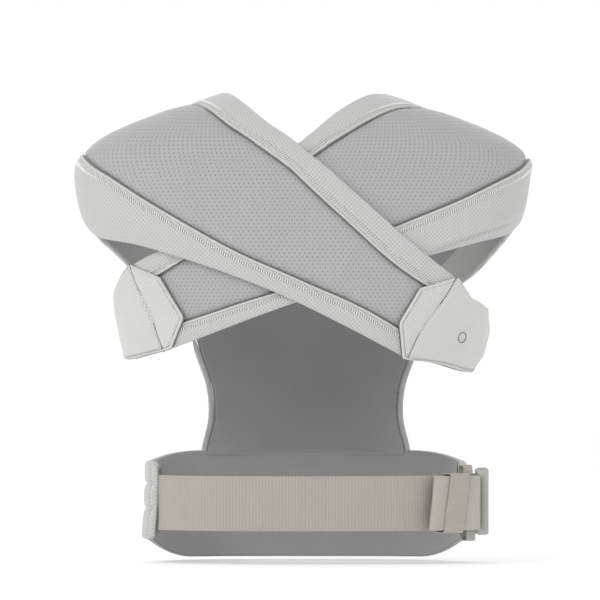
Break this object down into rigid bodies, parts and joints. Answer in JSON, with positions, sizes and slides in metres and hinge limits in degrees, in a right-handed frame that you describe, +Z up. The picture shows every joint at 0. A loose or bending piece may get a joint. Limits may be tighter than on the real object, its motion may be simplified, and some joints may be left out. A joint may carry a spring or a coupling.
{
  "type": "soft baby carrier",
  "caption": "Soft front baby carrier with crossed wide mesh shoulder straps, a padded waist belt, a pouch panel and side release buckles.",
  "frame": {"origin": "centre of the waist loop, at the middle of the belt's height", "axes": "+Z up along the wearer's body, +Y the way the wearer faces (towards the pouch panel), +X to the wearer's right"},
  "size_m": [0.419, 0.2847, 0.4325],
  "materials": {
    "dark_mesh": "perforated spacer mesh, matt",
    "light_mesh": "fine perforated mesh, matt",
    "lining": "plain knit, matt",
    "binding": "folded edge tape",
    "webbing": "woven ribbed webbing, slight sheen",
    "elastic": "ribbed elastic",
    "foam": "soft foam",
    "buckle_plastic": "fine moulded texture"
  },
  "bodies": {
    "carrier": {"front_panel_lining": "lining", "front_panel_outer": "dark_mesh", "left_leg_binding": "binding", "left_side_buckle_anchor": "webbing", "left_side_buckle_socket": "buckle_plastic", "left_side_webbing_lead": "webbing", "left_strap_end_foam": "foam", "left_strap_end_pad": "light_mesh", "left_strap_mesh_panel": "dark_mesh", "left_strap_neck_band": "light_mesh", "left_strap_outer_band": "light_mesh", "left_strap_padding": "foam", "right_leg_binding": "binding", "right_side_buckle_anchor": "webbing", "right_side_buckle_socket": "buckle_plastic", "right_side_webbing_lead": "webbing", "right_strap_end_foam": "foam", "right_strap_end_pad": "light_mesh", "right_strap_mesh_panel": "dark_mesh", "right_strap_neck_band": "light_mesh", "right_strap_outer_band": "light_mesh", "right_strap_padding": "foam", "waist_belt_cover": "light_mesh", "waist_belt_foam": "foam", "waist_belt_lining": "lining", "waist_buckle_anchor": "webbing", "waist_buckle_socket": "buckle_plastic", "waist_safety_loop": "elastic", "waist_webbing": "webbing", "waist_webbing_lead": "webbing"},
    "waist_plug": {"waist_buckle_plug": "buckle_plastic", "waist_webbing_tail": "webbing"},
    "waist_arm_a": {"waist_buckle_arm_a": "buckle_plastic"},
    "waist_arm_b": {"waist_buckle_arm_b": "buckle_plastic"},
    "waist_keeper": {"waist_tail_keeper": "elastic"},
    "right_side_plug": {"right_side_buckle_plug": "buckle_plastic", "right_side_webbing_tail": "webbing"},
    "right_side_arm_a": {"right_side_buckle_arm_a": "buckle_plastic"},
    "right_side_arm_b": {"right_side_buckle_arm_b": "buckle_plastic"},
    "right_side_keeper": {"right_side_tail_keeper": "elastic"},
    "left_side_plug": {"left_side_buckle_plug": "buckle_plastic", "left_side_webbing_tail": "webbing"},
    "left_side_arm_a": {"left_side_buckle_arm_a": "buckle_plastic"},
    "left_side_arm_b": {"left_side_buckle_arm_b": "buckle_plastic"},
    "left_side_keeper": {"left_side_tail_keeper": "elastic"},
    "head_support": {"head_support_cover": "light_mesh", "head_support_padding": "foam"}
  },
  "joints": [
    {"name": "waist_release", "type": "slide", "parent": "carrier", "child": "waist_plug", "axis": [0, -1, 0], "range_m": [0, 0.032], "deforming": ["waist_webbing_lead", "waist_safety_loop", "waist_buckle_arm_a", "waist_buckle_arm_b"]},
    {"name": "waist_arm_a_squeeze", "type": "hinge", "parent": "waist_plug", "child": "waist_arm_a", "pos_m": [0.1615, -0.0121, -0.024], "axis": [1, 0, 0], "range_deg": [0, 10], "stiffness_Nm_per_rad": 0.3},
    {"name": "waist_arm_b_squeeze", "type": "hinge", "parent": "waist_plug", "child": "waist_arm_b", "pos_m": [0.1615, -0.0121, 0.024], "axis": [-1, 0, 0], "range_deg": [0, 10], "stiffness_Nm_per_rad": 0.3},
    {"name": "waist_keeper_slide", "type": "slide", "parent": "waist_plug", "child": "waist_keeper", "axis": [-0.9052, -0.4249, 0], "range_m": [0, 0.008]},
    {"name": "right_side_release", "type": "slide", "parent": "carrier", "child": "right_side_plug", "axis": [0.7286, -0.685, 0], "range_m": [0, 0.022], "deforming": ["right_side_webbing_lead", "right_side_buckle_arm_a", "right_side_buckle_arm_b"]},
    {"name": "right_side_arm_a_squeeze", "type": "hinge", "parent": "right_side_plug", "child": "right_side_arm_a", "pos_m": [0.14366, 0.07046, 0.1515], "axis": [0.685, 0.7286, 0], "range_deg": [0, 14], "stiffness_Nm_per_rad": 0.06},
    {"name": "right_side_arm_b_squeeze", "type": "hinge", "parent": "right_side_plug", "child": "right_side_arm_b", "pos_m": [0.14366, 0.07046, 0.1745], "axis": [-0.685, -0.7286, 0], "range_deg": [0, 14], "stiffness_Nm_per_rad": 0.06},
    {"name": "right_side_keeper_slide", "type": "slide", "parent": "right_side_plug", "child": "right_side_keeper", "axis": [0.0517, -0.9987, 0], "range_m": [0, 0.004]},
    {"name": "left_side_release", "type": "slide", "parent": "carrier", "child": "left_side_plug", "axis": [-0.7286, -0.685, 0], "range_m": [0, 0.022], "deforming": ["left_side_webbing_lead", "left_side_buckle_arm_a", "left_side_buckle_arm_b"]},
    {"name": "left_side_arm_a_squeeze", "type": "hinge", "parent": "left_side_plug", "child": "left_side_arm_a", "pos_m": [-0.14366, 0.07046, 0.1745], "axis": [-0.685, 0.7286, 0], "range_deg": [0, 14], "stiffness_Nm_per_rad": 0.06},
    {"name": "left_side_arm_b_squeeze", "type": "hinge", "parent": "left_side_plug", "child": "left_side_arm_b", "pos_m": [-0.14366, 0.07046, 0.1515], "axis": [0.685, -0.7286, 0], "range_deg": [0, 14], "stiffness_Nm_per_rad": 0.06},
    {"name": "left_side_keeper_slide", "type": "slide", "parent": "left_side_plug", "child": "left_side_keeper", "axis": [-0.0517, -0.9987, 0], "range_m": [0, 0.004]},
    {"name": "head_support_fold", "type": "hinge", "parent": "carrier", "child": "head_support", "pos_m": [0, 0.13276, 0.2595], "axis": [-1, 0, 0], "range_deg": [0, 144]}
  ],
  "couplings": [
    {"joint": "waist_arm_b_squeeze", "follows": "waist_arm_a_squeeze", "ratio": 1},
    {"joint": "right_side_arm_b_squeeze", "follows": "right_side_arm_a_squeeze", "ratio": 1},
    {"joint": "left_side_arm_b_squeeze", "follows": "left_side_arm_a_squeeze", "ratio": 1}
  ]
}
